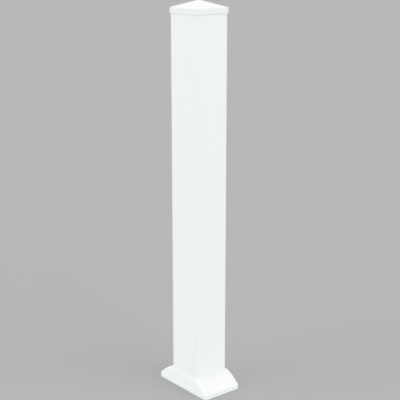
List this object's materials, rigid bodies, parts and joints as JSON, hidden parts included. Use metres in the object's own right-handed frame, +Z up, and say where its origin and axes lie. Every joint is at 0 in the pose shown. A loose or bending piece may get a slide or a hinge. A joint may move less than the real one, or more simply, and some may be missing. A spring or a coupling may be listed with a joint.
{
  "type": "vinyl fence post",
  "caption": "Free-standing square hollow vinyl post with a low pyramid cap and a flared foot trim, for fences and railings.",
  "frame": {"origin": "on the ground, at the centre of the square sleeve and of the foot trim", "axes": "+Z up along the post, Y along the long way of the foot trim, X across it"},
  "size_m": [0.1186, 0.1992, 1.0199],
  "materials": {
    "sleeve_vinyl": "extruded white PVC, satin, faint draw lines",
    "cap_vinyl": "moulded white PVC, satin, slightly glossier than the sleeve",
    "trim_vinyl": "moulded white PVC, satin"
  },
  "bodies": {
    "root": {"post_sleeve": "sleeve_vinyl", "post_cap": "cap_vinyl", "base_trim": "trim_vinyl"}
  },
  "joints": []
}
